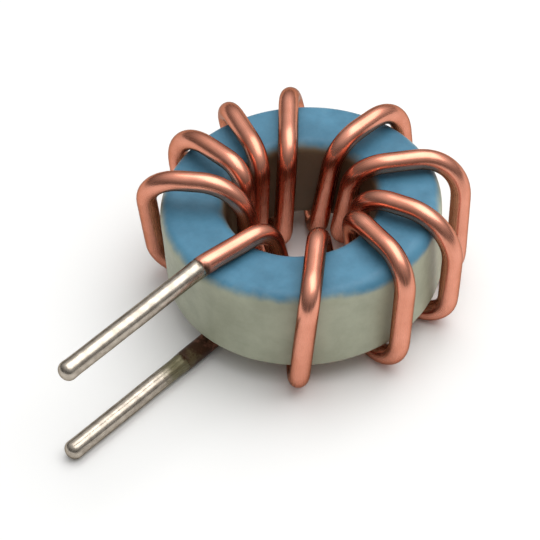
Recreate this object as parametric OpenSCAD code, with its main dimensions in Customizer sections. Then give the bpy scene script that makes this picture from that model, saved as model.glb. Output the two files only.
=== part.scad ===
// Toroidal inductor: a painted ring core wound with one thick enamelled copper wire, ends tinned.
// Units are millimetres. The ring's axis is +Z, and the part rests on z = 0 on the bottom passes of
// its wire. Both leads are level and point along -Y, one above the other.

/* [Core] */
// Outer diameter of the ring core
core_od = 17.5; // [17:0.1:24]
// Diameter of the core's centre hole
core_id = 9.4; // [9:0.1:10.5]
// Height of the core along its axis
core_h = 6.35; // [5:0.05:14]
// Radius of the core's rounded edges
core_edge_r = 0.8; // [0.4:0.05:1]

/* [Wire] */
// Diameter of the wire over its enamel
wire_d = 1.28; // [0.9:0.01:1.4]
// Thickness of the enamel, by which the tinned ends are thinner all round
enamel_t = 0.04; // [0.01:0.01:0.06]
// Clearance between the wire and the core at the tightest turns
seat_gap = 0.05; // [0.02:0.01:0.3]
// Clearance between the core's underside and the wire's bottom passes
under_gap = 0.15; // [0.1:0.05:0.4]

/* [Leads] */
// Distance from the ring's axis to the lead tips
lead_reach = 20.1; // [14:0.1:40]
// Sideways offset of the upper lead
upper_lead_x = 0.1; // [-0.3:0.05:0.5]
// Sideways offset of the lower lead
lower_lead_x = -0.8; // [-1.2:0.05:-0.4]
// Length of enamel left on the upper lead beyond the rim
upper_enamel_len = 0.25; // [0.2:0.05:1]
// Length of enamel left on the lower lead beyond the rim
lower_enamel_len = 1.65; // [0.5:0.05:3]
// Length over which the tin swells to the enamel's thickness where it starts
swell_len = 0.6; // [0.55:0.05:1.5]
// Rounding of the lead tips
tip_r = 0.35; // [0.1:0.01:0.38]

/* [Hidden] */
$fn = 48;

// Where the wire's centre line runs when it lies snug against the core.
wire_r = wire_d / 2;
low_z = wire_r;
core_z = wire_d + under_gap;
high_z = core_z + core_h + seat_gap + wire_r;
bore_r = core_id / 2 - wire_r - seat_gap;
rim_r = core_od / 2 + wire_r + seat_gap;
hug_r = core_edge_r + wire_r + seat_gap;

// One value per bore pass, counted from the lower lead: how far it stands off the bore wall, and its
// angle at the bottom and at the top of the bore.
bore_off = [0.5, 0.45, 0.5, 0.75, 0.05, 0.25, 0.35, 0.1, 0.1, 0.3];
first_low_a = 270 + asin(lower_lead_x / (bore_r - bore_off[0]));
bore_low_a = [first_low_a, 226, 197, 161, 123, 100, 47, 21, -18, -57];
bore_high_a = [236, 206, 176, 146, 97, 67, 31, 5, -30, -76];
// One value per turn: angle where it crosses the top edge and the bottom edge of the rim, how far it
// stands off the rim at each, how far it arches over the top, and how much of the room this leaves
// at the core's inner and outer edges its two upper bends take up.
rim_high_a = [222, 188, 164, 137, 91, 56, 21, -5, -43];
rim_low_a = [212, 187, 158, 132, 88, 42, 19, -12, -50];
rim_high_off = [0.2, 0.4, 0.15, 0.45, 0.05, 1.05, 0.8, 0.2, 0.25];
rim_low_off = [0.25, 0.1, 0.1, 0.1, 0.05, 0.05, 0.15, 0.35, 0.15];
arch = [1.2, 0.75, 0.4, 0.1, 0.6, 0.2, 0.3, 0.2, 0.25];
ease_in = [0.5, 0.05, 0.15, 0.25, 0.65, 0.9, 0.85, 0.4, 0];
ease_out = [0.45, 0.9, 1, 0.85, 1, 0.6, 0.85, 1, 0.1];
// Share of the room under the core's outer edge that each lower bend takes up
ease_low = 0.8;
turns = len(arch);
// The straight left between a turn's two upper bends, at least
min_run = 0.3;

// The upper lead leaves the last bore pass and bends into line just past the rim.
lead_bend_r = 2.5;
lead_bend_y = core_od / 2 - 0.2;
upper_start = core_od / 2 + upper_enamel_len;
lower_start = core_od / 2 + lower_enamel_len;
// Straight pieces are this much slimmer and reach this far into the bends, so they join cleanly.
joint_step = 0.01;
joint_lap = 0.12;

// A point at radius r, angle a and height z
function polar(r, a, z) = [r * cos(a), r * sin(a), z];
// The vector v at unit length
function unit(v) = v / norm(v);
// The direction the wire leaves corner i in
function heading(i) = unit(path[i + 1][0] - path[i][0]);
// How far the wire turns at corner i, in degrees
function turning(i) = acos(heading(i - 1) * heading(i));
// How much of the straight each side the bend at corner i takes
function trim(i) = i == 0 || i == len(path) - 1 ? 0 : path[i][1] * tan(turning(i) / 2);

// The widest bend that clears the core's edge where the wire stands off it by s and t
function widest(s, t) = s + t + sqrt(2 * s * t);
// The corners of turn k, in the order the wire runs
function bore_low(k) = polar(bore_r - bore_off[k], bore_low_a[k], low_z);
function bore_high(k) = polar(bore_r - bore_off[k], bore_high_a[k], high_z + (k < turns ? arch[k] : 0));
function rim_high(k) = polar(rim_r + rim_high_off[k], rim_high_a[k], high_z + arch[k]);
function rim_low(k) = polar(rim_r + rim_low_off[k], rim_low_a[k], low_z);
// The bend radii of turn k, and how far the upper two shrink to fit the stretch between them
function wide_in(k) = hug_r + ease_in[k] * widest(bore_off[k], arch[k]);
function wide_out(k) = hug_r + ease_out[k] * widest(rim_high_off[k], arch[k]);
function wide_low(k) = hug_r + ease_low * widest(rim_low_off[k], under_gap - seat_gap);
function shrink(k) = min(1, (norm(rim_high(k) - bore_high(k)) - min_run) / (wide_in(k) + wide_out(k)));

// The corners of the wire's centre line, each with its bend radius
path = concat(
    [[[lower_lead_x, -lower_start, low_z], 0]],
    [for (k = [0 : turns - 1]) each [
        [bore_low(k), hug_r],
        [bore_high(k), wide_in(k) * shrink(k)],
        [rim_high(k), wide_out(k) * shrink(k)],
        [rim_low(k), wide_low(k)]
    ]],
    [
        [bore_low(turns), hug_r],
        [bore_high(turns), hug_r],
        [[upper_lead_x, -lead_bend_y, high_z], lead_bend_r],
        [[upper_lead_x, -upper_start, high_z], 0]
    ]
);

// Draws its children with their Z axis along z and their X axis along x, at point p
module placed(p, x, z) {
    y = cross(z, x);
    multmatrix([
        [x[0], y[0], z[0], p[0]],
        [x[1], y[1], z[1], p[1]],
        [x[2], y[2], z[2], p[2]],
        [0, 0, 0, 1]
    ]) children();
}

// The straight piece of wire between corner i and the next
module straight(i) {
    d = heading(i);
    side = unit(cross(d, abs(d[2]) > 0.9 ? [1, 0, 0] : [0, 0, 1]));
    lap_in = i == 0 ? 0 : joint_lap;
    lap_out = i == len(path) - 2 ? 0 : joint_lap;
    run = norm(path[i + 1][0] - path[i][0]) - trim(i) - trim(i + 1);
    placed(path[i][0] + d * (trim(i) - lap_in), side, d)
        cylinder(h = run + lap_in + lap_out, r = wire_r - joint_step);
}

// The round bend of wire at corner i
module bend(i) {
    a = heading(i - 1);
    b = heading(i);
    r = path[i][1];
    start = path[i][0] - a * trim(i);
    inward = unit(b - a * (a * b));
    placed(start + inward * r, -inward, cross(-inward, a))
        rotate_extrude(angle = turning(i))
            translate([r, 0])
                circle(r = wire_r);
}

// The core's cross-section, drawn to the right of the ring's axis
module core_section() {
    inner = core_id / 2;
    width = core_od / 2 - inner;
    translate([inner + core_edge_r, 0])
        square([width - 2 * core_edge_r, core_h]);
    translate([inner, core_edge_r])
        square([width, core_h - 2 * core_edge_r]);
    for (x = [inner + core_edge_r, core_od / 2 - core_edge_r], z = [core_edge_r, core_h - core_edge_r])
        translate([x, z])
            circle(r = core_edge_r);
}

// The ring core: one pressed ring with rounded edges
module core() {
    color([0.56, 0.58, 0.49])
        translate([0, 0, core_z])
            rotate_extrude()
                core_section();
}

// The enamelled wire, from the lower lead's strip point round the core to the upper lead's
module winding() {
    color([0.72, 0.38, 0.26])
        union() {
            for (i = [0 : len(path) - 2])
                straight(i);
            for (i = [1 : len(path) - 2])
                bend(i);
        }
}

// A tinned wire end that runs along -Y from distance start out to the tip
module tinned_end(x, z, start) {
    r = wire_r - enamel_t;
    run = lead_reach - start;
    shoulder = run - tip_r;
    translate([x, -start, z])
        rotate([90, 0, 0])
            rotate_extrude() {
                polygon([[0, 0], [wire_r - joint_step, 0], [r, swell_len], [r, shoulder], [0, shoulder]]);
                square([r - tip_r, run]);
                translate([r - tip_r, shoulder])
                    intersection() {
                        circle(r = tip_r);
                        square(tip_r);
                    }
            }
}

// The tinned end above the core's top face
module upper_lead() {
    color([0.85, 0.84, 0.8])
        tinned_end(upper_lead_x, high_z, upper_start);
}

// The tinned end level with the bottom passes
module lower_lead() {
    color([0.85, 0.84, 0.8])
        tinned_end(lower_lead_x, low_z, lower_start);
}

core();
winding();
upper_lead();
lower_lead();
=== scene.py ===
"""Toroidal inductor: a coated powder ring wound with one enamelled copper wire, both ends tinned.

Sizes in the classes are in millimetres and become metres where a mesh or an object is made. The
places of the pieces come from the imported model's own boxes.
"""

import logging
import math
from collections.abc import Callable, Sequence
from dataclasses import dataclass, field
from enum import Enum
from functools import partial

import bmesh
import bpy
from mathutils import Matrix, Quaternion, Vector, noise


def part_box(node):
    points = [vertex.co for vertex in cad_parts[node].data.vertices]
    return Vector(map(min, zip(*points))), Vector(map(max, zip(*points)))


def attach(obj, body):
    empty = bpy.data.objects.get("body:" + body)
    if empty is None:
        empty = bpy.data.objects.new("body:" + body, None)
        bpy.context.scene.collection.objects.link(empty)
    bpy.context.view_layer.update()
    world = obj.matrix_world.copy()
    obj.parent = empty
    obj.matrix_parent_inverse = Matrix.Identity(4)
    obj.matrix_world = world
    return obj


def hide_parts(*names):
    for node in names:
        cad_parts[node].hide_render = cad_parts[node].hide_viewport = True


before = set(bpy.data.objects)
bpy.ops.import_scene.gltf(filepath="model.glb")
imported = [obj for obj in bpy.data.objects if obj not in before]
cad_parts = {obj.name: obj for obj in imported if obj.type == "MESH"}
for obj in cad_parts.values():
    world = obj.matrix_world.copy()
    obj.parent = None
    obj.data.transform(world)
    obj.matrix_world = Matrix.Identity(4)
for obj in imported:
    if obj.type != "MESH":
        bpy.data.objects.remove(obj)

log = logging.getLogger("inductor")

MM = 0.001
ROOT_BODY = "root"
UNROLLED = "unrolled"

# Sizes of the CAD model that its boxes don't give, in millimetres.
BORE_RADIUS = 4.7
CORE_EDGE_RADIUS = 0.8
WIRE_RADIUS = 0.64
TINNED_RADIUS = 0.6
SWELL_LENGTH = 0.6
SEAT_GAP = 0.05
UNDER_GAP = 0.15
LEAD_BEND_RADIUS = 2.5
LEAD_BEND_INSET = 0.2
LEAST_RUN = 0.3
LOW_EASE = 0.8

# Radius in millimetres of the last ring at a lead's tip.
LEAST_RADIUS = 0.02

# The two values between which something changes, and a bump's strength and height.
Span = tuple[float, float]
Bump = tuple[float, float]


class LeadSide(Enum):
    """Which of the two tinned ends a piece is, by the name of its CAD node."""

    UPPER = "upper_lead"
    LOWER = "lower_lead"


# ------------ Small tools ------------


def linear(code: str) -> tuple[float, float, float, float]:
    """Turns an sRGB hex colour into linear RGBA.

    Args:
        code: The colour as "#rrggbb".

    Returns:
        Red, green, blue and an alpha of 1, as the shader nodes take them.
    """
    parts = [int(code[i : i + 2], 16) / 255 for i in (1, 3, 5)]
    lit = [p / 12.92 if p <= 0.04045 else ((p + 0.055) / 1.055) ** 2.4 for p in parts]
    return (lit[0], lit[1], lit[2], 1.0)


def add_node(
    tree: bpy.types.NodeTree,
    kind: str,
    inputs: dict[str | int, object] | Sequence[object] = (),
    **settings: object,
) -> bpy.types.Node:
    """Adds one node to a tree, with its settings, its values and its links.

    Args:
        tree: The node tree that gets the node.
        kind: The node's type, such as "ShaderNodeMath".
        inputs: A value or an output socket for each input, by the input's name or number, or for
            its first inputs in order.
        **settings: The node's own properties, by name.

    Returns:
        The new node.
    """
    node = tree.nodes.new(kind)
    for name, value in settings.items():
        setattr(node, name, value)
    for name, value in inputs.items() if isinstance(inputs, dict) else enumerate(inputs):
        if isinstance(value, bpy.types.NodeSocket):
            tree.links.new(value, node.inputs[name])
        else:
            node.inputs[name].default_value = value
    return node


def new_material(name: str) -> tuple[bpy.types.Material, bpy.types.NodeTree]:
    """Makes an empty node material.

    Args:
        name: The material's name.

    Returns:
        The material and its node tree, with no node in it.
    """
    material = bpy.data.materials.new(name)
    material.use_nodes = True
    material.node_tree.nodes.clear()
    return material, material.node_tree


def dress(
    tree: bpy.types.NodeTree,
    looks: dict[str, object],
    reliefs: Sequence[tuple[bpy.types.NodeSocket, Bump]],
) -> None:
    """Ends a material with its shader and its output.

    Args:
        tree: The material's node tree.
        looks: The shader's inputs, by name.
        reliefs: Each pattern that stands out of the surface, with its bump, whose height is in
            millimetres. Each lies on the one before.
    """
    skin = {}
    for pattern, (strength, height) in reliefs:
        skin["Normal"] = add_node(
            tree,
            "ShaderNodeBump",
            {"Height": pattern, "Strength": strength, "Distance": height * MM, **skin},
        ).outputs["Normal"]
    shader = add_node(tree, "ShaderNodeBsdfPrincipled", {**looks, **skin})
    add_node(tree, "ShaderNodeOutputMaterial", {"Surface": shader.outputs[0]})


def make_piece(
    name: str, bm: bmesh.types.BMesh, material: bpy.types.Material, node: str
) -> bpy.types.Object:
    """Turns a finished mesh into a piece that stands for one CAD node.

    Args:
        name: The piece's name.
        bm: The mesh, in metres. It is freed.
        material: The finish of the whole piece.
        node: The CAD node that the piece replaces.

    Returns:
        The new object, riding on the part's one body.
    """
    bmesh.ops.recalc_face_normals(bm, faces=bm.faces)
    mesh = bpy.data.meshes.new(name)
    bm.to_mesh(mesh)
    bm.free()
    mesh.materials.append(material)
    mesh.shade_smooth()
    piece = bpy.data.objects.new(name, mesh)
    bpy.context.scene.collection.objects.link(piece)
    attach(piece, ROOT_BODY)
    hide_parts(node)
    log.info("%s: %d faces, stands for %s", name, len(mesh.polygons), node)
    return piece


def ease(x: float, low: float, high: float) -> float:
    """Gives 0 below low, 1 above high and a smooth step between them."""
    t = min(1.0, max(0.0, (x - low) / (high - low)))
    return t * t * (3 - 2 * t)


def polar(radius: float, degrees: float, height: float) -> Vector:
    """Gives the point at a radius, an angle round the ring's axis and a height."""
    a = math.radians(degrees)
    return Vector((radius * math.cos(a), radius * math.sin(a), height))


def sweep(
    points: Sequence[Vector], radius: Callable[[float, float], float], sides: int
) -> bmesh.types.BMesh:
    """Sweeps a round section along a line, without twist, and closes both ends.

    Each vertex keeps its place on the wire as if that lay straight, in millimetres: across, up and
    along. Patterns that follow the wire are drawn in those coordinates.

    Args:
        points: The centre line in millimetres.
        radius: The radius in millimetres for a length along the line and an angle round it.
        sides: How many faces go round the section.

    Returns:
        The mesh in metres.
    """
    bm = bmesh.new()
    place = bm.verts.layers.float_vector.new(UNROLLED)
    tangent = (points[1] - points[0]).normalized()
    side = tangent.orthogonal().normalized()
    along = 0.0
    rings = []
    for i, point in enumerate(points):
        ahead = points[min(i + 1, len(points) - 1)] - points[max(i - 1, 0)]
        turned = tangent.rotation_difference(ahead.normalized())
        side = (turned @ side).normalized()
        tangent = ahead.normalized()
        across = tangent.cross(side)
        if i:
            along += (point - points[i - 1]).length
        ring = []
        for k in range(sides):
            a = 2 * math.pi * k / sides
            r = radius(along, a)
            vert = bm.verts.new((point + (side * math.cos(a) + across * math.sin(a)) * r) * MM)
            vert[place] = Vector((r * math.cos(a), r * math.sin(a), along))
            ring.append(vert)
        rings.append(ring)
    for near, far in zip(rings, rings[1:]):
        for k in range(sides):
            bm.faces.new((near[k], near[(k + 1) % sides], far[(k + 1) % sides], far[k]))
    for ring, point, end in ((rings[0], points[0], 0.0), (rings[-1], points[-1], along)):
        centre = bm.verts.new(point * MM)
        centre[place] = Vector((0.0, 0.0, end))
        for k in range(sides):
            bm.faces.new((ring[k], ring[(k + 1) % sides], centre))
    return bm


# ------------ Finishes ------------


@dataclass(frozen=True)
class CoatedPowderRing:
    """Epoxy coat on pressed iron powder, sprayed grey green all over and dipped blue on one face.

    Lengths are in millimetres.

    Attributes:
        body_hex: Grey green spray, and body_dark_hex where it lies thin.
        face_hex: Blue dip, and face_dark_hex where it lies thin.
        bore_shade_hex: Painted shade and painted reflected copper light on the bore's wall, a dark
            brown.
        cloud_mm: Size of the thick and thin patches.
        cloud_span: Noise from thin to thick.
        grit_mm: Size of the powder's grains under the coat.
        grit_span: Noise from smooth to rough.
        edge_wander_mm: Size of the waves in the dip's edge and in the coat.
        edge_wander_depth: How far the edge wanders up and down.
        edge_span: Distances past the dip's edge from whole blue to none.
        rim_depth: How far down from the top face the dip reaches.
        deep_side_depth: How much further down it reaches on the +X side.
        deep_side_span: Distances in from the rim from that side's start to its whole depth.
        bore_shade_band: How far out from the bore's wall the painted shade fades out.
        peel_bump: Strength and height of the orange peel.
        wave_bump: Strength and height of the broader waves.
    """

    body_hex: str = "#AEB29B"
    body_dark_hex: str = "#9EA18B"
    face_hex: str = "#4E86A2"
    face_dark_hex: str = "#41758F"
    # Painted shade and painted reflected copper light for the bore's wall.
    bore_shade_hex: str = "#77674F"
    cloud_mm: float = 2.2
    cloud_span: Span = (0.36, 0.64)
    # The real grains, about 0.08 mm, are too fine to show, so they are drawn twice as coarse.
    grit_mm: float = 0.16
    grit_span: Span = (0.3, 0.7)
    edge_wander_mm: float = 0.9
    edge_wander_depth: float = 0.4
    edge_span: Span = (-0.05, 0.5)
    rim_depth: float = 0.3
    deep_side_depth: float = 0.4
    deep_side_span: Span = (1.4, 0.3)
    bore_shade_band: float = 0.5
    roughness: Span = (0.42, 0.6)
    peel_bump: Bump = (0.35, 0.012)
    wave_bump: Bump = (0.5, 0.05)
    ior: float = 1.45

    def build(self, top: float, outer: float, bore: float) -> bpy.types.Material:
        """Makes the material.

        Epoxy spray over pressed powder gives the eye a satin skin with fine orange peel, thin and
        cloudy patches of colour, and a soft, slightly wandering line where the blue dip ends.

        Args:
            top: Height of the ring's top face in millimetres.
            outer: Outer radius of the ring in millimetres.
            bore: Radius of the ring's hole in millimetres.

        Returns:
            The coat's material.
        """
        material, tree = new_material("epoxy_coat_sprayed_two_colour")
        place = add_node(tree, "ShaderNodeTexCoord").outputs["Object"]
        mm = add_node(
            tree, "ShaderNodeVectorMath", {0: place, "Scale": 1 / MM}, operation="SCALE"
        ).outputs[0]
        axes = add_node(tree, "ShaderNodeSeparateXYZ", (mm,))
        cloud, grit, wander = (
            add_node(
                tree,
                "ShaderNodeTexNoise",
                {"Vector": mm, "Scale": 1 / size, "Detail": detail, "Roughness": fading},
            ).outputs["Fac"]
            for size, detail, fading in (
                (self.cloud_mm, 4.0, 0.6),
                (self.grit_mm, 2.0, 0.5),
                (self.edge_wander_mm, 3.0, 0.6),
            )
        )

        # The dip reaches a little further down on the +X side of the rim.
        start, whole = self.deep_side_span
        reach = add_node(
            tree,
            "ShaderNodeMapRange",
            (
                axes.outputs["X"],
                outer - start,
                outer - whole,
                self.rim_depth,
                self.rim_depth + self.deep_side_depth,
            ),
            interpolation_type="SMOOTHSTEP",
        ).outputs["Result"]
        depth = add_node(
            tree, "ShaderNodeMath", (top, axes.outputs["Z"]), operation="SUBTRACT"
        ).outputs[0]
        beyond = add_node(tree, "ShaderNodeMath", (depth, reach), operation="SUBTRACT").outputs[0]
        wandered = add_node(
            tree,
            "ShaderNodeMath",
            (wander, self.edge_wander_depth, beyond),
            operation="MULTIPLY_ADD",
        ).outputs[0]
        is_body = add_node(
            tree,
            "ShaderNodeMapRange",
            (wandered, *self.edge_span),
            interpolation_type="SMOOTHSTEP",
        ).outputs["Result"]

        patchy = add_node(tree, "ShaderNodeMapRange", (cloud, *self.cloud_span)).outputs["Result"]
        body, face = (
            add_node(
                tree,
                "ShaderNodeMix",
                {0: patchy, 6: linear(thin), 7: linear(thick)},
                data_type="RGBA",
            ).outputs[2]
            for thin, thick in (
                (self.body_dark_hex, self.body_hex),
                (self.face_dark_hex, self.face_hex),
            )
        )
        # Painted shade and painted reflected copper light: the bore's wall and a band out from it
        # are coloured dark brown.
        flat = add_node(
            tree, "ShaderNodeVectorMath", (mm, (1.0, 1.0, 0.0)), operation="MULTIPLY"
        ).outputs[0]
        off_axis = add_node(
            tree, "ShaderNodeVectorMath", (flat,), operation="LENGTH"
        ).outputs["Value"]
        painted_bore_shade = add_node(
            tree,
            "ShaderNodeMapRange",
            (off_axis, bore, bore + self.bore_shade_band, 1.0, 0.0),
            interpolation_type="SMOOTHSTEP",
        ).outputs["Result"]
        body = add_node(
            tree, "ShaderNodeMix", {0: painted_bore_shade, 6: body, 7: linear(self.bore_shade_hex)}, data_type="RGBA"
        ).outputs[2]
        colour = add_node(
            tree, "ShaderNodeMix", {0: is_body, 6: face, 7: body}, data_type="RGBA"
        ).outputs[2]
        satin = add_node(
            tree, "ShaderNodeMapRange", (grit, *self.grit_span, *self.roughness)
        ).outputs["Result"]
        looks = {"Base Color": colour, "Roughness": satin, "IOR": self.ior}
        dress(tree, looks, ((grit, self.peel_bump), (wander, self.wave_bump)))
        return material


@dataclass(frozen=True)
class ScorchedEnd:
    """One end of the enamel, scorched by the tinning. Lengths are in millimetres.

    Attributes:
        along: Its distance along the wire.
        reach: How far the scorch reaches from it.
        height: Its height above the floor.
    """

    along: float
    reach: float
    height: float


@dataclass(frozen=True)
class EnamelledCopper:
    """Drawn copper wire under a baked varnish, scorched where it was stripped for tinning.

    Lengths are in millimetres.

    Attributes:
        copper_hex: Bright varnished copper, and copper_dark_hex where it is dull.
        edge_hex: Tint of its reflections at grazing angles.
        scorch_hex: Scorched enamel.
        residue_hex: Flux left next to the tin.
        draw_line_mm: Width of the die's lines along the wire.
        draw_line_ratio: A line's width as a share of its length.
        line_span: Noise from smooth to rough.
        mottle_mm: Size of the bright and dull patches.
        mottle_span: Noise from dull to bright.
        tongue_mm: Size of the tongues in the scorch's edge.
        lower_side_reach: How much further the scorch reaches for each millimetre lower.
        scorch_span: Shares of the scorch's reach from whole scorch to none.
        residue_span: Shares of the scorch's reach from whole flux to none.
        scorched_metal: What the scorch leaves of the metallic look.
        scorched_roughness: What the scorch adds to the roughness.
        line_bump: Strength and height of the lines.
        mottle_bump: Strength and height of the patches.
        varnish_weight: How much gloss the varnish adds.
        varnish_roughness: Roughness of that gloss.
    """

    copper_hex: str = "#E39A82"
    copper_dark_hex: str = "#D58C73"
    edge_hex: str = "#A39488"
    scorch_hex: str = "#3B2417"
    residue_hex: str = "#5A4F37"
    # The die's real lines, about 0.01 mm wide, are too fine to show, so they are drawn ten times as
    # coarse.
    draw_line_mm: float = 0.1
    draw_line_ratio: float = 0.06
    line_span: Span = (0.3, 0.7)
    mottle_mm: float = 1.6
    mottle_span: Span = (0.35, 0.65)
    tongue_mm: float = 0.45
    lower_side_reach: float = 0.6
    scorch_span: Span = (0.9, 1.6)
    residue_span: Span = (0.5, 0.8)
    scorched_metal: float = 0.15
    scorched_roughness: float = 0.25
    roughness: Span = (0.22, 0.32)
    line_bump: Bump = (0.16, 0.01)
    mottle_bump: Bump = (0.25, 0.02)
    varnish_weight: float = 0.12
    varnish_roughness: float = 0.2

    def build(self, ends: Sequence[ScorchedEnd]) -> bpy.types.Material:
        """Makes the material.

        Polyester varnish over drawn copper gives the eye a warm red-brown metal, with a long soft
        highlight broken by fine lines along the wire, a thin gloss on top, and dark brown scorched
        ends with a little olive flux left on them.

        Args:
            ends: The two ends of the enamel.

        Returns:
            The wire's material.
        """
        material, tree = new_material("enamelled_copper_drawn")
        place = add_node(tree, "ShaderNodeAttribute", attribute_name=UNROLLED).outputs["Vector"]
        along = add_node(tree, "ShaderNodeSeparateXYZ", (place,)).outputs["Z"]
        stretched = add_node(
            tree,
            "ShaderNodeVectorMath",
            (place, (1.0, 1.0, self.draw_line_ratio)),
            operation="MULTIPLY",
        ).outputs[0]
        lines, mottle, ragged = (
            add_node(
                tree,
                "ShaderNodeTexNoise",
                {"Vector": where, "Scale": 1 / size, "Detail": detail, "Roughness": fading},
            ).outputs["Fac"]
            for where, size, detail, fading in (
                (stretched, self.draw_line_mm, 2.0, 0.5),
                (place, self.mottle_mm, 3.0, 0.6),
                (place, self.tongue_mm, 3.0, 0.6),
            )
        )
        patchy = add_node(
            tree, "ShaderNodeMapRange", (mottle, *self.mottle_span)
        ).outputs["Result"]
        copper = add_node(
            tree,
            "ShaderNodeMix",
            {0: patchy, 6: linear(self.copper_dark_hex), 7: linear(self.copper_hex)},
            data_type="RGBA",
        ).outputs[2]

        in_room = add_node(tree, "ShaderNodeTexCoord").outputs["Object"]
        above = add_node(tree, "ShaderNodeSeparateXYZ", (in_room,)).outputs["Z"]
        char = linear(self.scorch_hex)
        burnt = 0.0
        for end in ends:
            offset = add_node(
                tree, "ShaderNodeMath", (along, end.along), operation="SUBTRACT"
            ).outputs[0]
            away = add_node(tree, "ShaderNodeMath", (offset,), operation="ABSOLUTE").outputs[0]
            away = add_node(
                tree, "ShaderNodeMath", (ragged, end.reach, away), operation="MULTIPLY_ADD"
            ).outputs[0]
            # The scorch reaches further on the lower side of the wire.
            rise = add_node(
                tree, "ShaderNodeMath", (above, 1 / MM, -end.height), operation="MULTIPLY_ADD"
            ).outputs[0]
            away = add_node(
                tree, "ShaderNodeMath", (rise, self.lower_side_reach, away), operation="MULTIPLY_ADD"
            ).outputs[0]
            near, sticky = (
                add_node(
                    tree,
                    "ShaderNodeMapRange",
                    (away, end.reach * whole, end.reach * none, 1.0, 0.0),
                    interpolation_type="SMOOTHSTEP",
                ).outputs["Result"]
                for whole, none in (self.scorch_span, self.residue_span)
            )
            char = add_node(
                tree,
                "ShaderNodeMix",
                {0: sticky, 6: char, 7: linear(self.residue_hex)},
                data_type="RGBA",
            ).outputs[2]
            burnt = add_node(tree, "ShaderNodeMath", (burnt, near), operation="MAXIMUM").outputs[0]
        colour = add_node(
            tree, "ShaderNodeMix", {0: burnt, 6: copper, 7: char}, data_type="RGBA"
        ).outputs[2]
        metal = add_node(
            tree, "ShaderNodeMapRange", (burnt, 0.0, 1.0, 1.0, self.scorched_metal)
        ).outputs["Result"]
        satin = add_node(
            tree, "ShaderNodeMapRange", (lines, *self.line_span, *self.roughness)
        ).outputs["Result"]
        satin = add_node(
            tree,
            "ShaderNodeMath",
            (burnt, self.scorched_roughness, satin),
            operation="MULTIPLY_ADD",
        ).outputs[0]
        looks = {
            "Base Color": colour,
            "Metallic": metal,
            "Roughness": satin,
            "Specular Tint": linear(self.edge_hex),
            "Coat Weight": self.varnish_weight,
            "Coat Roughness": self.varnish_roughness,
        }
        dress(tree, looks, ((lines, self.line_bump), (mottle, self.mottle_bump)))
        return material


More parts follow.
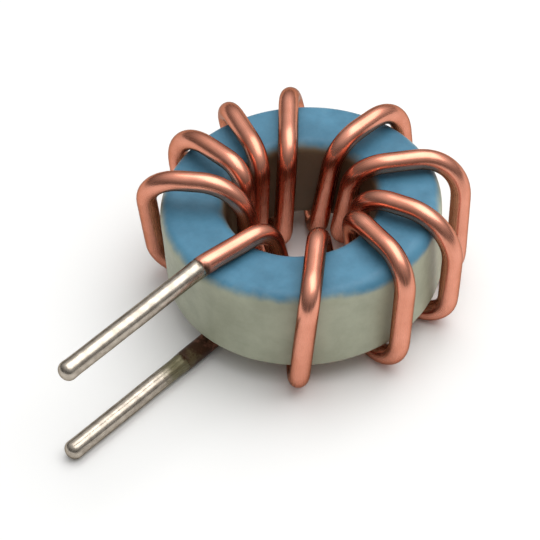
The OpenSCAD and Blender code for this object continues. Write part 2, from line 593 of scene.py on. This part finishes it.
@dataclass(frozen=True)
class TinnedCopper:
    """Copper wire end dipped in molten solder, with flux and scorched enamel left at its root.

    Lengths are in millimetres.

    Attributes:
        tin_hex: Bright tin, and tin_dark_hex in its dull patches.
        edge_hex: Tint of its reflections at grazing angles.
        root_hex: Scorched root.
        stain_hex: Flux stain.
        ripple_mm: Size of the ripples and dull patches.
        dull_span: Noise from dull to bright.
        streak_mm: Width of the streaks along the wire.
        streak_ratio: A streak's width as a share of its length.
        streak_span: Noise from smooth to rough.
        tongue_mm: Length of the tongues in the edges of root and stain.
        root_span: Distances past the root from whole scorch to none.
        stain_share: Share of the stain's length that it covers whole.
        stain_fade: How far past its length the stain has faded out.
        stained_metal: What the stain leaves of the metallic look.
        streak_bump: Strength and height of the streaks.
        ripple_bump: Strength and height of the ripples.
    """

    tin_hex: str = "#BDB3A6"
    tin_dark_hex: str = "#A1978B"
    edge_hex: str = "#A29C93"
    root_hex: str = "#3E2415"
    stain_hex: str = "#6F6A52"
    ripple_mm: float = 0.5
    dull_span: Span = (0.35, 0.62)
    # The real streaks, about 0.03 mm wide, are too fine to show, so they are drawn four times as
    # coarse.
    streak_mm: float = 0.12
    streak_ratio: float = 0.12
    streak_span: Span = (0.3, 0.7)
    tongue_mm: float = 1.1
    root_span: Span = (0.25, 0.6)
    stain_share: float = 0.6
    stain_fade: float = 0.8
    stained_metal: float = 0.35
    roughness: Span = (0.2, 0.32)
    streak_bump: Bump = (0.2, 0.008)
    ripple_bump: Bump = (0.2, 0.015)

    def build(self, side: LeadSide, root: float, stain: float) -> bpy.types.Material:
        """Makes the material.

        Solder that froze as it ran gives the eye a bright pale metal with streaks along the wire,
        shallow ripples, greyer patches, and a brown and olive stain where it meets the enamel.

        Args:
            side: Which lead the material is for.
            root: Length of the scorched root in millimetres.
            stain: Length of the olive stain beyond it in millimetres.

        Returns:
            The lead's material.
        """
        material, tree = new_material(f"tinned_copper_dipped_{side.value}")
        place = add_node(tree, "ShaderNodeAttribute", attribute_name=UNROLLED).outputs["Vector"]
        along = add_node(tree, "ShaderNodeSeparateXYZ", (place,)).outputs["Z"]
        stretched = add_node(
            tree,
            "ShaderNodeVectorMath",
            (place, (1.0, 1.0, self.streak_ratio)),
            operation="MULTIPLY",
        ).outputs[0]
        streaks, ripples = (
            add_node(
                tree,
                "ShaderNodeTexNoise",
                {"Vector": where, "Scale": 1 / size, "Detail": 3.0, "Roughness": fading},
            ).outputs["Fac"]
            for where, size, fading in (
                (stretched, self.streak_mm, 0.6),
                (place, self.ripple_mm, 0.55),
            )
        )
        dull = add_node(
            tree, "ShaderNodeMapRange", (ripples, *self.dull_span, 1.0, 0.0)
        ).outputs["Result"]
        tin = add_node(
            tree,
            "ShaderNodeMix",
            {0: dull, 6: linear(self.tin_hex), 7: linear(self.tin_dark_hex)},
            data_type="RGBA",
        ).outputs[2]
        ragged = add_node(
            tree, "ShaderNodeMath", (ripples, self.tongue_mm, along), operation="MULTIPLY_ADD"
        ).outputs[0]
        clean, past_root = (
            add_node(
                tree, "ShaderNodeMapRange", (ragged, low, high), interpolation_type="SMOOTHSTEP"
            ).outputs["Result"]
            for low, high in (
                (root + stain * self.stain_share, root + stain + self.stain_fade),
                (root + self.root_span[0], root + self.root_span[1]),
            )
        )
        stained = add_node(
            tree, "ShaderNodeMix", {0: clean, 6: linear(self.stain_hex), 7: tin}, data_type="RGBA"
        ).outputs[2]
        colour = add_node(
            tree,
            "ShaderNodeMix",
            {0: past_root, 6: linear(self.root_hex), 7: stained},
            data_type="RGBA",
        ).outputs[2]
        bare = add_node(
            tree, "ShaderNodeMapRange", (clean, 0.0, 1.0, self.stained_metal, 1.0)
        ).outputs["Result"]
        metal = add_node(tree, "ShaderNodeMath", (past_root, bare), operation="MULTIPLY").outputs[0]
        satin = add_node(
            tree, "ShaderNodeMapRange", (streaks, *self.streak_span, *self.roughness)
        ).outputs["Result"]
        looks = {
            "Base Color": colour,
            "Metallic": metal,
            "Roughness": satin,
            "Specular Tint": linear(self.edge_hex),
        }
        dress(tree, looks, ((streaks, self.streak_bump), (ripples, self.ripple_bump)))
        return material


@dataclass(frozen=True)
class PaperSweep:
    """Matt white background paper, laid flat."""

    paper_hex: str = "#F4F4F3"
    # Real fibres, about 0.03 mm wide, are too fine to show, so they are drawn far coarser.
    fibre_mm: float = 0.8
    roughness: float = 0.9
    tooth_bump: Bump = (0.05, 0.02)

    def build(self) -> bpy.types.Material:
        """Makes the material.

        Uncoated paper gives the eye an even, matt white with a barely visible fibre.

        Returns:
            The floor's material.
        """
        material, tree = new_material("background_paper_uncoated")
        place = add_node(tree, "ShaderNodeTexCoord").outputs["Object"]
        fibre = add_node(
            tree,
            "ShaderNodeTexNoise",
            {"Vector": place, "Scale": 1 / (self.fibre_mm * MM), "Detail": 2.0},
        ).outputs["Fac"]
        looks = {"Base Color": linear(self.paper_hex), "Roughness": self.roughness}
        dress(tree, looks, ((fibre, self.tooth_bump),))
        return material


# ------------ Pieces ------------


@dataclass
class RingCore:
    """The coated ring: a rounded-edge ring whose skin is slightly uneven."""

    outer_radius: float
    base: float
    top: float
    inner_radius: float = BORE_RADIUS
    edge_radius: float = CORE_EDGE_RADIUS
    unevenness: float = 0.03
    waves_per_mm: float = 0.45
    segments: int = 288
    edge_steps: int = 10
    wall_steps: int = 14
    finish: CoatedPowderRing = field(default_factory=CoatedPowderRing)

    def outline(self) -> list[tuple[float, float]]:
        """Lays out the ring's section.

        Returns:
            Radius and height of each point in millimetres, once round the section.
        """
        edge = self.edge_radius
        corners = (
            (self.outer_radius - edge, self.base + edge, -90),
            (self.outer_radius - edge, self.top - edge, 0),
            (self.inner_radius + edge, self.top - edge, 90),
            (self.inner_radius + edge, self.base + edge, 180),
        )
        rounded = []
        for radius, height, start in corners:
            for i in range(self.edge_steps + 1):
                a = math.radians(start + 90 * i / self.edge_steps)
                rounded.append((radius + edge * math.cos(a), height + edge * math.sin(a)))
        points = []
        for i, (r0, z0) in enumerate(rounded):
            r1, z1 = rounded[(i + 1) % len(rounded)]
            steps = self.wall_steps if i % (self.edge_steps + 1) == self.edge_steps else 1
            for k in range(steps):
                points.append((r0 + (r1 - r0) * k / steps, z0 + (z1 - z0) * k / steps))
        return points

    def sink(self, point: Vector) -> float:
        """Gives how far the skin lies inside its true place at a point, in millimetres."""
        return self.unevenness * (0.5 + 0.5 * noise.noise(point * self.waves_per_mm))

    def build(self) -> bpy.types.Object:
        """Turns the section round the axis, as a mesh with an uneven skin.

        Returns:
            The dressed piece.
        """
        outline = self.outline()
        count = len(outline)
        middle_r = (self.inner_radius + self.outer_radius) / 2
        middle_z = (self.base + self.top) / 2
        bm = bmesh.new()
        rings = []
        for s in range(self.segments):
            ring = []
            for r, z in outline:
                inward = Vector((middle_r - r, middle_z - z)).normalized()
                depth = self.sink(polar(r, 360 * s / self.segments, z))
                at = polar(r + inward.x * depth, 360 * s / self.segments, z + inward.y * depth)
                ring.append(bm.verts.new(at * MM))
            rings.append(ring)
        for s in range(self.segments):
            near, far = rings[s], rings[(s + 1) % self.segments]
            for k in range(count):
                bm.faces.new((near[k], near[(k + 1) % count], far[(k + 1) % count], far[k]))
        material = self.finish.build(self.top, self.outer_radius, self.inner_radius)
        return make_piece("ring_core_coated", bm, material, "core")


@dataclass(frozen=True)
class BorePass:
    """One pass of the wire through the bore.

    Attributes:
        off: How far it stands off the wall.
        low: Its angle at the bottom of the bore.
        high: Its angle at the top.
    """

    off: float
    low: float
    high: float


@dataclass(frozen=True)
class RimTurn:
    """One turn over the top and down the rim, from the bore pass before it to the one after.

    Attributes:
        high: Angle where it crosses the top edge of the rim.
        low: Angle where it crosses the bottom edge.
        high_off: How far it stands off the rim at the top.
        low_off: How far it stands off the rim at the bottom.
        arch: How far it rises over the top face.
        ease_in: How wide its bend at the core's inner edge is, from 0, tight, to 1, widest.
        ease_out: The same at the outer edge.
    """

    high: float
    low: float
    high_off: float
    low_off: float
    arch: float
    ease_in: float
    ease_out: float


@dataclass
class WireRoute:
    """The wire's centre line: straight stretches joined by round bends.

    Attributes:
        low: Height of the bottom passes and the lower lead.
        high: Height of the upper lead, and of a turn that lies on the top face.
        lower_x: Sideways place of the lower lead, as upper_x is of the upper.
        lower_start: Distance from the axis to the enamel's lower end, as upper_start to its upper.
        soften_mm: How far the bends are eased into the straights.
        waver: How far hand winding puts the line off at most.
        wavers_per_mm: How many such waves fit in a millimetre.
        waver_rise: How much of the waver goes up and down.
        held_mm: Distances from each end at which the waver starts and is whole.
        passes: The passes through the bore, from the lower lead on.
        rim: The turns over the rim, each after the pass of the same number.
    """

    ring: RingCore
    low: float
    high: float
    lower_x: float
    upper_x: float
    lower_start: float
    upper_start: float
    step: float = 0.2
    soften_mm: float = 0.3
    waver: float = 0.03
    seed: int = 6
    wavers_per_mm: float = 0.22
    waver_rise: float = 0.4
    held_mm: Span = (1.0, 4.0)
    passes: tuple[BorePass, ...] = (
        BorePass(0.5, 270, 236),
        BorePass(0.45, 226, 206),
        BorePass(0.5, 197, 176),
        BorePass(0.75, 161, 146),
        BorePass(0.05, 123, 97),
        BorePass(0.25, 100, 67),
        BorePass(0.35, 47, 31),
        BorePass(0.1, 21, 5),
        BorePass(0.1, -18, -30),
        BorePass(0.3, -57, -76),
    )
    rim: tuple[RimTurn, ...] = (
        RimTurn(222, 212, 0.2, 0.25, 1.2, 0.5, 0.45),
        RimTurn(188, 187, 0.4, 0.1, 0.75, 0.05, 0.9),
        RimTurn(164, 158, 0.15, 0.1, 0.4, 0.15, 1),
        RimTurn(137, 132, 0.45, 0.1, 0.1, 0.25, 0.85),
        RimTurn(91, 88, 0.05, 0.05, 0.6, 0.65, 1),
        RimTurn(56, 42, 1.05, 0.05, 0.2, 0.9, 0.6),
        RimTurn(21, 19, 0.8, 0.15, 0.3, 0.85, 0.85),
        RimTurn(-5, -12, 0.2, 0.35, 0.2, 0.4, 1),
        RimTurn(-43, -50, 0.25, 0.15, 0.25, 0, 0.1),
    )

    @staticmethod
    def widest(s: float, t: float) -> float:
        """Gives the widest bend round an edge that the wire stands off by s and t."""
        return s + t + math.sqrt(2 * s * t)

    def corners(self) -> list[tuple[Vector, float]]:
        """Lays out the corners of the centre line, in the order the wire runs.

        Returns:
            Each corner in millimetres with the radius of its bend.
        """
        bore = self.ring.inner_radius - WIRE_RADIUS - SEAT_GAP
        rim = self.ring.outer_radius + WIRE_RADIUS + SEAT_GAP
        hug = self.ring.edge_radius + WIRE_RADIUS + SEAT_GAP
        slack = UNDER_GAP - SEAT_GAP
        path = [(Vector((self.lower_x, -self.lower_start, self.low)), 0.0)]
        for i, through in enumerate(self.passes):
            radius = bore - through.off
            low = polar(radius, through.low, self.low)
            if i == 0:
                low = Vector((self.lower_x, -math.sqrt(radius**2 - self.lower_x**2), self.low))
            path.append((low, hug))
            if i == len(self.rim):
                path.append((polar(radius, through.high, self.high), hug))
                break
            turn = self.rim[i]
            inner = polar(radius, through.high, self.high + turn.arch)
            outer = polar(rim + turn.high_off, turn.high, self.high + turn.arch)
            wide_in = hug + turn.ease_in * self.widest(through.off, turn.arch)
            wide_out = hug + turn.ease_out * self.widest(turn.high_off, turn.arch)
            shrink = min(1.0, ((outer - inner).length - LEAST_RUN) / (wide_in + wide_out))
            path.append((inner, wide_in * shrink))
            path.append((outer, wide_out * shrink))
            wide_low = hug + LOW_EASE * self.widest(turn.low_off, slack)
            path.append((polar(rim + turn.low_off, turn.low, self.low), wide_low))
        bend = self.ring.outer_radius - LEAD_BEND_INSET
        path.append((Vector((self.upper_x, -bend, self.high)), LEAD_BEND_RADIUS))
        path.append((Vector((self.upper_x, -self.upper_start, self.high)), 0.0))
        return path

    def bent(self) -> list[Vector]:
        """Rounds each corner with its bend.

        Returns:
            Points on the straights and bends, about one step apart, in millimetres.
        """
        path = self.corners()
        points = [path[0][0]]
        for (before, _), (corner, radius), (after, _) in zip(path, path[1:], path[2:]):
            a = (corner - before).normalized()
            b = (after - corner).normalized()
            turn = a.angle(b)
            trim = radius * math.tan(turn / 2)
            start = corner - a * trim
            centre = start + (b - a * a.dot(b)).normalized() * radius
            axis = a.cross(b).normalized()
            self.run_to(points, start)
            count = max(2, round(radius * turn / self.step))
            for i in range(1, count + 1):
                spin = Quaternion(axis, turn * i / count)
                points.append(centre + spin @ (start - centre))
        self.run_to(points, path[-1][0])
        return points

    def run_to(self, points: list[Vector], end: Vector) -> None:
        """Adds evenly spaced points on the straight from the last point to its end.

        Args:
            points: The line so far, in millimetres. It grows.
            end: Where the straight ends.
        """
        start = points[-1]
        count = max(1, round((end - start).length / self.step))
        points += [start.lerp(end, i / count) for i in range(1, count + 1)]

    def points(self) -> list[Vector]:
        """Eases the bends into the straights and adds the slight waver of wire wound by hand.

        Returns:
            The centre line in millimetres. Its two ends keep their place and direction.
        """
        # Without a seed of its own the waver follows the clock and changes with each run.
        noise.seed_set(self.seed)
        line = self.bent()
        rounds = round((self.soften_mm / self.step) ** 2)
        for _ in range(rounds):
            inner = [(a + b * 2 + c) / 4 for a, b, c in zip(line, line[1:], line[2:])]
            line = [line[0], *inner, line[-1]]
        wavered = []
        for i, point in enumerate(line):
            free = ease(min(i, len(line) - 1 - i) * self.step, *self.held_mm)
            shift = noise.noise_vector(point * self.wavers_per_mm)
            level = Vector((shift.x, shift.y, self.waver_rise * shift.z))
            wavered.append(point + level * self.waver * free)
        return wavered


@dataclass
class Winding:
    """The enamelled wire, from one strip point round the ring to the other.

    The enamel ends in a worn lip, whose length changes round the wire in a few lobes.
    """

    route: WireRoute
    sides: int = 40
    lip: float = 0.12
    lip_wander: float = 0.5
    lip_lobes: int = 3
    lower_scorch: float = 4.2
    upper_scorch: float = 0.9
    finish: EnamelledCopper = field(default_factory=EnamelledCopper)

    def radius(self, total: float, along: float, angle: float) -> float:
        """Gives the wire's radius in millimetres.

        Args:
            total: Length of the wire, in millimetres.
            along: Distance along it, in millimetres.
            angle: Angle round it, in radians.

        Returns:
            The radius, which drops over the lip at each end to the bare wire's.
        """
        lip = self.lip * (1 + self.lip_wander * math.sin(self.lip_lobes * angle + 1))
        worn = ease(min(along, total - along), 0.0, lip)
        return TINNED_RADIUS + (WIRE_RADIUS - TINNED_RADIUS) * worn

    def build(self) -> bpy.types.Object:
        """Sweeps the wire along its route, with a worn lip at each end of the enamel.

        Returns:
            The dressed piece.
        """
        points = self.route.points()
        total = sum((b - a).length for a, b in zip(points, points[1:]))
        bm = sweep(points, partial(self.radius, total), self.sides)
        log.info("wire length %.0f mm in %d rings", total, len(points))
        lower = ScorchedEnd(0.0, self.lower_scorch, self.route.low)
        upper = ScorchedEnd(total, self.upper_scorch, self.route.high)
        material = self.finish.build((lower, upper))
        return make_piece("winding_enamelled_wire", bm, material, "winding")


@dataclass
class TinnedLead:
    """One tinned wire end: a dipped straight with a swollen root and a frozen bead at its tip.

    Attributes:
        start: Distance from the axis to its root.
        tip: Distance from the axis to its tip.
        root: Length of its scorched root.
        stain: Length of the flux stain beyond that.
        overlap: How far it runs on inside the enamel's end.
        joint_step: How much slimmer than the enamelled wire its root is.
        even_mm: Distances along it at which the unevenness starts and is whole.
        bead_peak: Distance from the tip to the bead's widest place.
        tip_power: Shape of the tip: 2 is round, and more is blunter.
        step: Distance between its rings.
    """

    side: LeadSide
    x: float
    height: float
    start: float
    tip: float
    root: float
    stain: float
    overlap: float = 0.1
    joint_step: float = 0.01
    unevenness: float = 0.018
    even_mm: Span = (0.3, 1.5)
    lumps_per_mm: float = 0.5
    bead: float = 0.02
    bead_peak: float = 0.4
    bead_length: float = 1.1
    tip_power: float = 2.6
    sides: int = 40
    step: float = 0.12
    round_steps: int = 14
    finish: TinnedCopper = field(default_factory=TinnedCopper)

    @property
    def length(self) -> float:
        """The lead's length with its hidden start, in millimetres."""
        return self.tip - self.start + self.overlap

    def radius(self, along: float, angle: float) -> float:
        """Gives the lead's radius in millimetres.

        Args:
            along: Distance from the hidden start, in millimetres.
            angle: Angle round the wire, in radians.

        Returns:
            The radius with the swollen root, the uneven solder, the bead and the rounded tip.
        """
        swell = WIRE_RADIUS - TINNED_RADIUS - self.joint_step
        body = TINNED_RADIUS + swell * (1 - ease(along - self.overlap, 0, SWELL_LENGTH))
        # The noise is read on a circle, so it closes round the wire, and the height keeps the two
        # leads from being alike.
        place = Vector((0.5 * math.cos(angle), 0.5 * math.sin(angle), along * self.lumps_per_mm))
        place.z += self.height
        body += self.unevenness * noise.noise(place) * ease(along, *self.even_mm)
        to_tip = self.length - along
        widening = ease(to_tip, 0.0, self.bead_peak)
        body += self.bead * widening * (1 - ease(to_tip, self.bead_peak, self.bead_length))
        if to_tip < body:
            body *= math.sqrt(max(0.0, 1 - (1 - to_tip / body) ** self.tip_power))
        return max(body, LEAST_RADIUS)

    def build(self) -> bpy.types.Object:
        """Sweeps the lead out to its tip, in finer steps where the tip rounds off.

        Returns:
            The dressed piece.
        """
        straight = self.length - TINNED_RADIUS
        count = round(straight / self.step)
        marks = [straight * i / count for i in range(count)]
        for i in range(self.round_steps + 1):
            bulge = math.sin(math.pi / 2 * i / self.round_steps)
            marks.append(self.length - TINNED_RADIUS * (1 - bulge))
        begin = self.start - self.overlap
        points = [Vector((self.x, -begin - mark, self.height)) for mark in marks]
        bm = sweep(points, self.radius, self.sides)
        material = self.finish.build(self.side, self.root, self.stain)
        node = self.side.value
        return make_piece(f"{node}_tinned", bm, material, node)


# ------------ Studio ------------


@dataclass(frozen=True)
class SoftBox:
    """One soft rectangular lamp that faces the part.

    Attributes:
        name: The lamp's name.
        azimuth: Angle round the part, in degrees, 0 on the -Y side and 90 on +X.
        elevation: Angle above the floor, in degrees.
        distance: Distance from the part in millimetres.
        width: Width of its face in millimetres.
        depth: Depth of its face in millimetres.
        watts: Its power.
        tint_hex: Its colour.
    """

    name: str
    azimuth: float
    elevation: float
    distance: float
    width: float
    depth: float
    watts: float
    tint_hex: str = "#FFFFFF"


def direction(azimuth: float, elevation: float) -> Vector:
    """Gives the unit vector from the part towards a place round it, both angles in degrees."""
    a, e = math.radians(azimuth), math.radians(elevation)
    return Vector((math.sin(a) * math.cos(e), -math.cos(a) * math.cos(e), math.sin(e)))


def facing(towards: Vector) -> Matrix:
    """Gives the level rotation of a lamp or camera that stands that way from what it faces."""
    across = Vector((0, 0, 1)).cross(towards).normalized()
    return Matrix((across, towards.cross(across), towards)).transposed()


@dataclass
class Studio:
    """The floor, the light tent round the part, its soft box and the camera.

    Attributes:
        centre: The middle of the ring, which the lights and the camera stand round.
        room_low: Strength of the tent's light at the horizon and below.
        room_high: How much stronger it is at its brightest place.
        room_top: Azimuth and elevation of that place, in degrees.
        azimuth: Angle of the camera round the part, in degrees, as in SoftBox.
        nearest: The nearest that the camera sees, in metres.
        aim: What the camera points at, from the centre.
        roll: How far the camera leans, in degrees.
    """

    centre: Vector
    floor_radius: float = 2500.0
    floor_sides: int = 96
    room_hex: str = "#FFFFFF"
    room_low: float = 0.16
    room_high: float = 1.2
    room_top: tuple[float, float] = (180.0, 74.0)
    azimuth: float = 46.0
    elevation: float = 45.0
    distance: float = 140.0
    lens: float = 148.6
    sensor: float = 36.0
    nearest: float = 0.01
    aim: tuple[float, float, float] = (-0.42, -2.67, -1.55)
    roll: float = 5.04
    boxes: tuple[SoftBox, ...] = (SoftBox("key_box_behind", 156, 70, 350, 400, 330, 0.8),)

    def lay_floor(self) -> None:
        """Lays a pale paper floor under the part."""
        bm = bmesh.new()
        bmesh.ops.create_circle(
            bm, cap_ends=True, segments=self.floor_sides, radius=self.floor_radius * MM
        )
        mesh = bpy.data.meshes.new("paper_floor")
        bm.to_mesh(mesh)
        bm.free()
        mesh.materials.append(PaperSweep().build())
        floor = bpy.data.objects.new("paper_floor", mesh)
        bpy.context.scene.collection.objects.link(floor)

    def light_room(self) -> None:
        """Lights the room like a tent, brightest high up on the +Y side and dimmest low down."""
        world = bpy.data.worlds.new("studio_light_tent")
        world.use_nodes = True
        tree = world.node_tree
        tree.nodes.clear()
        way = add_node(tree, "ShaderNodeTexCoord").outputs["Generated"]
        nearness = add_node(
            tree,
            "ShaderNodeVectorMath",
            (way, direction(*self.room_top)),
            operation="DOT_PRODUCT",
        ).outputs["Value"]
        nearness = add_node(
            tree, "ShaderNodeMath", (nearness, 0.0), operation="MAXIMUM"
        ).outputs[0]
        square = add_node(
            tree, "ShaderNodeMath", (nearness, nearness), operation="MULTIPLY"
        ).outputs[0]
        strength = add_node(
            tree,
            "ShaderNodeMath",
            (square, self.room_high, self.room_low),
            operation="MULTIPLY_ADD",
        ).outputs[0]
        glow = add_node(
            tree, "ShaderNodeBackground", {"Color": linear(self.room_hex), "Strength": strength}
        )
        add_node(tree, "ShaderNodeOutputWorld", {"Surface": glow.outputs[0]})
        bpy.context.scene.world = world

    def hang(self, box: SoftBox) -> None:
        """Hangs one soft box and turns it to the part.

        Args:
            box: The lamp to hang.
        """
        lamp = bpy.data.lights.new(box.name, "AREA")
        lamp.shape = "RECTANGLE"
        lamp.size = box.width * MM
        lamp.size_y = box.depth * MM
        lamp.energy = box.watts
        lamp.color = linear(box.tint_hex)[:3]
        holder = bpy.data.objects.new(box.name, lamp)
        towards = direction(box.azimuth, box.elevation)
        place = (self.centre + towards * box.distance) * MM
        holder.matrix_world = Matrix.Translation(place) @ facing(towards).to_4x4()
        bpy.context.scene.collection.objects.link(holder)

    def set_camera(self) -> None:
        """Stands the camera at the viewing angle, aimed just beside the ring's middle."""
        lens = bpy.data.cameras.new("camera")
        lens.lens = self.lens
        lens.sensor_width = self.sensor
        lens.clip_start = self.nearest
        camera = bpy.data.objects.new("camera", lens)
        eye = self.centre + direction(self.azimuth, self.elevation) * self.distance
        sight = (eye - (self.centre + Vector(self.aim))).normalized()
        turned = Matrix.Rotation(math.radians(self.roll), 3, -sight) @ facing(sight)
        camera.matrix_world = Matrix.Translation(eye * MM) @ turned.to_4x4()
        bpy.context.scene.collection.objects.link(camera)
        bpy.context.scene.camera = camera

    def build(self) -> None:
        """Sets up the whole studio."""
        self.lay_floor()
        self.light_room()
        for box in self.boxes:
            self.hang(box)
        self.set_camera()
        bpy.context.scene.view_settings.view_transform = "Standard"
        log.info("studio: floor, light tent, %d soft box and camera", len(self.boxes))


def main() -> None:
    """Builds the ring, the wire, its two tinned ends and the studio."""
    logging.basicConfig(level=logging.INFO, format="%(name)s: %(message)s")
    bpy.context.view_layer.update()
    core_low, core_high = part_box("core")
    upper_low, upper_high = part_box(LeadSide.UPPER.value)
    lower_low, lower_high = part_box(LeadSide.LOWER.value)

    ring = RingCore(outer_radius=core_high.x / MM, base=core_low.z / MM, top=core_high.z / MM)
    ring.build()
    route = WireRoute(
        ring=ring,
        low=(lower_low.z + lower_high.z) / 2 / MM,
        high=(upper_low.z + upper_high.z) / 2 / MM,
        lower_x=(lower_low.x + lower_high.x) / 2 / MM,
        upper_x=(upper_low.x + upper_high.x) / 2 / MM,
        lower_start=-lower_high.y / MM,
        upper_start=-upper_high.y / MM,
    )
    Winding(route).build()
    upper = (LeadSide.UPPER, route.upper_x, route.high, route.upper_start, -upper_low.y / MM)
    TinnedLead(*upper, root=0.1, stain=0.0).build()
    lower = (LeadSide.LOWER, route.lower_x, route.low, route.lower_start, -lower_low.y / MM)
    TinnedLead(*lower, root=0.2, stain=2.2).build()
    Studio(Vector((0.0, 0.0, (ring.base + ring.top) / 2))).build()


if __name__ == "__main__":
    main()
